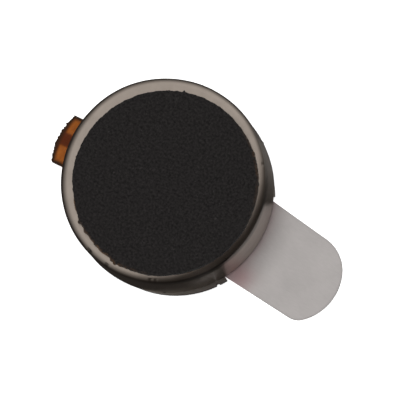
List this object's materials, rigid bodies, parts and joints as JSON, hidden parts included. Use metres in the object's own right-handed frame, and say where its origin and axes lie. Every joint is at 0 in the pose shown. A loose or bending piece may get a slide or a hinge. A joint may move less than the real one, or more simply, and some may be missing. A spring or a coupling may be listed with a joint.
{
  "type": "vibration coin motor",
  "caption": "Flat eccentric-rotor vibration motor in a round steel case, with foam pad, flex contact tab and adhesive base under a release liner with a pull tab.",
  "frame": {"origin": "on the case axis, at the underside of the release liner that the motor lies on", "axes": "+X along the liner's pull tab, +Z along the shaft, up through the foam pad"},
  "size_m": [0.0157, 0.01, 0.0038],
  "materials": {
    "nickel_case": "satin nickel plate",
    "nickel_plate": "satin nickel plate",
    "weld_bead": "dull weld",
    "shaft_steel": "ground",
    "glue": "cured adhesive",
    "magnet_nickel": "nickel-plated sintered magnet",
    "polyimide": "amber polyimide film",
    "copper_land": "gold flash over copper",
    "coverlay": "amber polyimide film",
    "brush_metal": "phosphor bronze",
    "solder": "tin solder",
    "washer_film": "polyester film",
    "pad_film": "acrylic adhesive film",
    "foam": "fine-cell foam skin",
    "tape": "double-sided tape",
    "bearing_brass": "sintered bronze",
    "board_laminate": "solder mask",
    "commutator_copper": "gold flash over copper",
    "coil_wire": "enamelled copper wire",
    "tungsten": "sintered tungsten alloy",
    "rotor_resin": "moulded resin",
    "liner_paper": "silicone-coated release paper"
  },
  "bodies": {
    "stator": {"case_cover": "nickel_case", "base_plate": "nickel_plate", "case_welds": "weld_bead", "shaft": "shaft_steel", "magnet_adhesive": "glue", "ring_magnet": "magnet_nickel", "flex_board": "polyimide", "positive_land": "copper_land", "negative_land": "copper_land", "flex_coverlay": "coverlay", "positive_brush": "brush_metal", "negative_brush": "brush_metal", "brush_solder": "solder", "lower_thrust_washer": "washer_film", "upper_thrust_washer": "washer_film", "pad_adhesive": "pad_film", "foam_pad": "foam", "adhesive_tape": "tape"},
    "rotor": {"bearing_sleeve": "bearing_brass", "rotor_board": "board_laminate", "commutator_segments": "commutator_copper", "coil_a": "coil_wire", "coil_b": "coil_wire", "coil_solder": "solder", "counterweight": "tungsten", "rotor_moulding": "rotor_resin"},
    "release_liner": {"release_liner": "liner_paper"}
  },
  "joints": [
    {"name": "rotor_spin", "type": "hinge", "parent": "stator", "child": "rotor", "pos_m": [0, 0, 0.0021], "axis": [0, 0, 1], "continuous": true},
    {"name": "liner_pull", "type": "slide", "parent": "stator", "child": "release_liner", "axis": [1, 0, 0], "range_m": [0, 0.012]}
  ]
}
